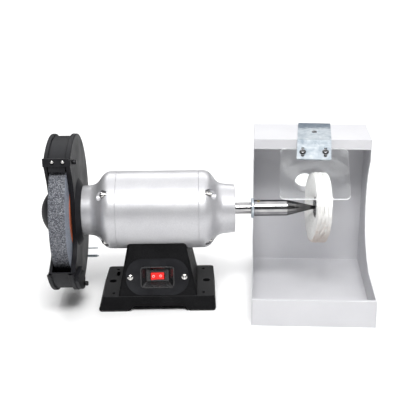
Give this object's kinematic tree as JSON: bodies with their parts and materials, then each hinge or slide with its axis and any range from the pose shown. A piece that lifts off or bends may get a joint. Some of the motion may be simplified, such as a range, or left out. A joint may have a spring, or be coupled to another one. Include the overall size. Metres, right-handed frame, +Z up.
{
  "type": "dental polishing lathe",
  "caption": "Bench polishing lathe with a guarded grinding wheel, a tapered spindle carrying a cloth buff, and a free-standing open hood with a clear shield.",
  "frame": {"origin": "on the bench top, midway between the two large bench bolt holes and under the middle of the motor", "axes": "+X along the motor axis towards the buff, +Y away from the operator, +Z up"},
  "size_m": [0.477, 0.2596, 0.2436],
  "materials": {
    "motor_paint": "fine-textured silver-grey paint",
    "base_paint": "black wrinkle paint on a casting",
    "guard_paint": "satin black paint on sheet steel",
    "bright_steel": "turned and polished",
    "zinc_steel": "zinc-plated",
    "dark_steel": "blackened",
    "nickel_screws": "bright nickel-plated",
    "brass_screw": "bright yellow-passivated",
    "laminations": "stacked sheet",
    "copper": "varnished enamelled wire",
    "rotor_alloy": "die-cast",
    "stone": "bonded abrasive grain",
    "label_paper": "blotting paper",
    "cotton": "stitched cloth layers",
    "buff_leather": "dark disc",
    "rubber": "matt",
    "can_metal": "drawn can",
    "black_plastic": "moulded",
    "red_plastic": "moulded",
    "hood_paint": "white powder coat",
    "clear_sheet": "clear acrylic sheet"
  },
  "bodies": {
    "machine": {"motor_barrel": "motor_paint", "end_bell_left": "motor_paint", "end_bell_right": "motor_paint", "tie_bolts": "nickel_screws", "tie_bolt_nuts": "nickel_screws", "stator_core": "laminations", "stator_windings": "copper", "bearing_outer_rings": "bright_steel", "bearing_washers": "bright_steel", "guard_inner_plate": "guard_paint", "guard_flange": "guard_paint", "guard_outer_cover": "guard_paint", "guard_band": "guard_paint", "tongue_screws": "nickel_screws", "guard_sheet_screws": "zinc_steel", "guard_screws": "zinc_steel", "rest_bracket": "guard_paint", "rest_bolt": "dark_steel", "rear_lug": "guard_paint", "rear_studs": "zinc_steel", "base_casting": "base_paint", "foot_pads": "rubber", "base_plate": "base_paint", "base_plate_screws": "zinc_steel", "motor_screws": "dark_steel", "capacitor": "can_metal", "capacitor_clip": "zinc_steel", "cable_gland": "black_plastic", "switch_plate": "guard_paint", "switch_plate_screws": "nickel_screws", "switch_bezel": "black_plastic", "switch_body": "black_plastic"},
    "rotor": {"shaft": "bright_steel", "rotor_core": "laminations", "rotor_cage_rings": "rotor_alloy", "bearing_inner_rings": "bright_steel", "grinding_wheel": "stone", "wheel_labels": "label_paper", "wheel_flanges": "zinc_steel", "wheel_nut": "zinc_steel", "spindle_washer": "zinc_steel", "spindle": "bright_steel", "spindle_set_screw": "brass_screw", "buff_wheel": "cotton", "buff_discs": "buff_leather"},
    "bearing_balls": {"bearing_balls": "bright_steel"},
    "tongue": {"tongue_plate": "guard_paint"},
    "rocker": {"switch_rocker": "red_plastic"},
    "rest_thumbscrew": {"rest_knob": "dark_steel"},
    "top_thumbscrew": {"top_knob": "dark_steel"},
    "hood": {"hood_back": "hood_paint", "hood_left_side": "hood_paint", "hood_right_side": "hood_paint", "hood_top": "hood_paint", "hood_tray": "hood_paint", "duct_spigot": "hood_paint", "shield_bracket": "zinc_steel", "bracket_screw": "nickel_screws"},
    "shield": {"shield_panel": "clear_sheet", "shield_fasteners": "nickel_screws"}
  },
  "joints": [
    {"name": "rotor_spin", "type": "hinge", "parent": "machine", "child": "rotor", "pos_m": [0, 0, 0.135], "axis": [1, 0, 0], "continuous": true},
    {"name": "bearing_ball_roll", "type": "hinge", "parent": "machine", "child": "bearing_balls", "pos_m": [0, 0, 0.135], "axis": [1, 0, 0], "continuous": true},
    {"name": "tongue_slide", "type": "slide", "parent": "machine", "child": "tongue", "axis": [0, 0, 1], "range_m": [-0.0007, 0.0029]},
    {"name": "rocker_tilt", "type": "hinge", "parent": "machine", "child": "rocker", "pos_m": [-0.0008, -0.04057, 0.05057], "axis": [0, 0.1189, 0.9929], "range_deg": [-14, 0]},
    {"name": "rest_thumbscrew_turn", "type": "hinge", "parent": "machine", "child": "rest_thumbscrew", "pos_m": [-0.106, -0.028, 0.0335], "axis": [1, 0, 0], "range_deg": [0, 360]},
    {"name": "top_thumbscrew_turn", "type": "hinge", "parent": "machine", "child": "top_thumbscrew", "pos_m": [-0.111, -0.0383, 0.219], "axis": [1, 0, 0], "range_deg": [0, 360]},
    {"name": "hood_shift", "type": "slide", "parent": "machine", "child": "hood", "axis": [1, 0, 0], "range_m": [0, 0.06]},
    {"name": "shield_slide", "type": "slide", "parent": "hood", "child": "shield", "axis": [0.107, 0.8594, 0.5], "range_m": [-0.0062, 0.0062]}
  ],
  "couplings": [
    {"joint": "bearing_ball_roll", "follows": "rotor_spin", "ratio": 0.385}
  ]
}
